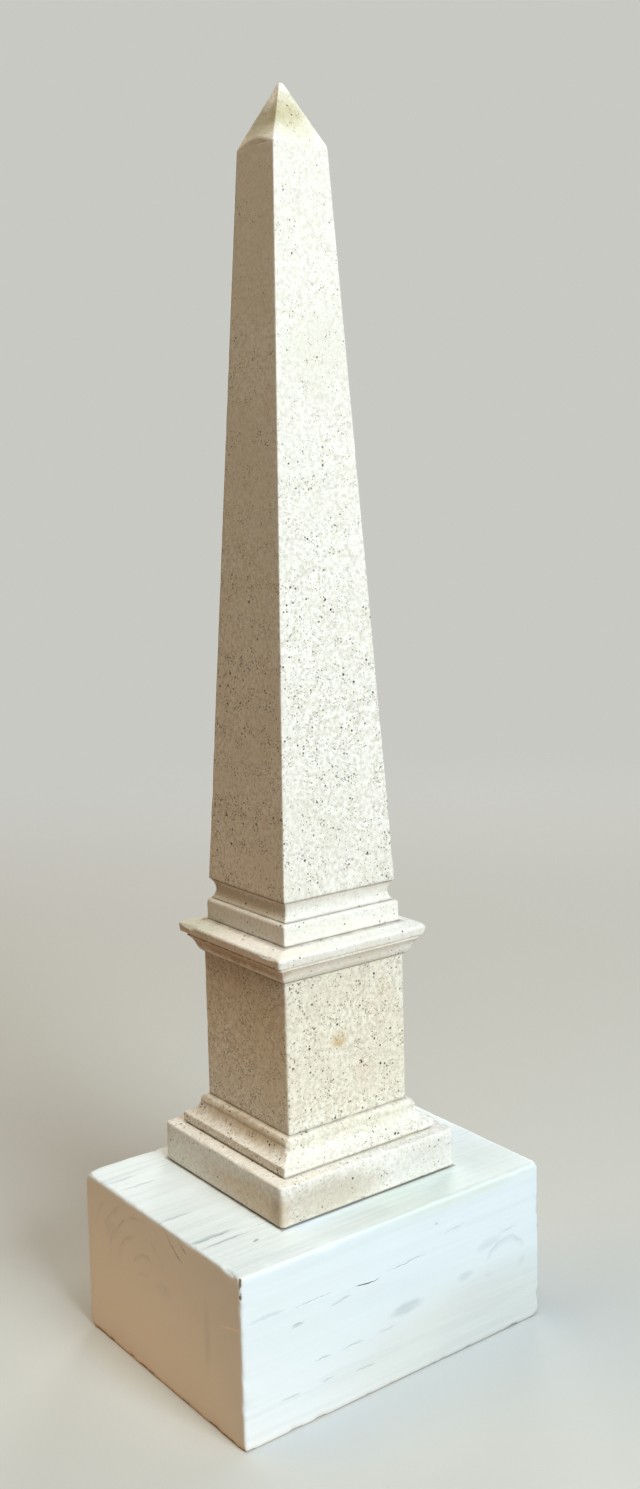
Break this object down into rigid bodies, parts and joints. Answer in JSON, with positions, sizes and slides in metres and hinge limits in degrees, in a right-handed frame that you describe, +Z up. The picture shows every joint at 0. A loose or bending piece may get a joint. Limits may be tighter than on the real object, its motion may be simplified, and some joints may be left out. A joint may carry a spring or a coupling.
{
  "type": "tabletop obelisk on a timber block",
  "caption": "Tabletop obelisk of pale cast stone: a tapering square shaft with a pointed top on a moulded pedestal, standing on a white painted timber block.",
  "frame": {"origin": "middle of the timber block's underside", "axes": "+Z up along the obelisk, +X along the timber block's long side, +Y across it"},
  "size_m": [0.17, 0.136, 0.5828],
  "materials": {
    "cast_stone": "matte",
    "painted_timber": "matte",
    "adhesive": "satin"
  },
  "bodies": {
    "root": {"timber_block": "painted_timber", "plinth": "cast_stone", "glue_bed": "adhesive", "base_moulding": "cast_stone", "die": "cast_stone", "cornice": "cast_stone", "shaft_foot": "cast_stone", "neck": "cast_stone", "shaft": "cast_stone"}
  },
  "joints": []
}
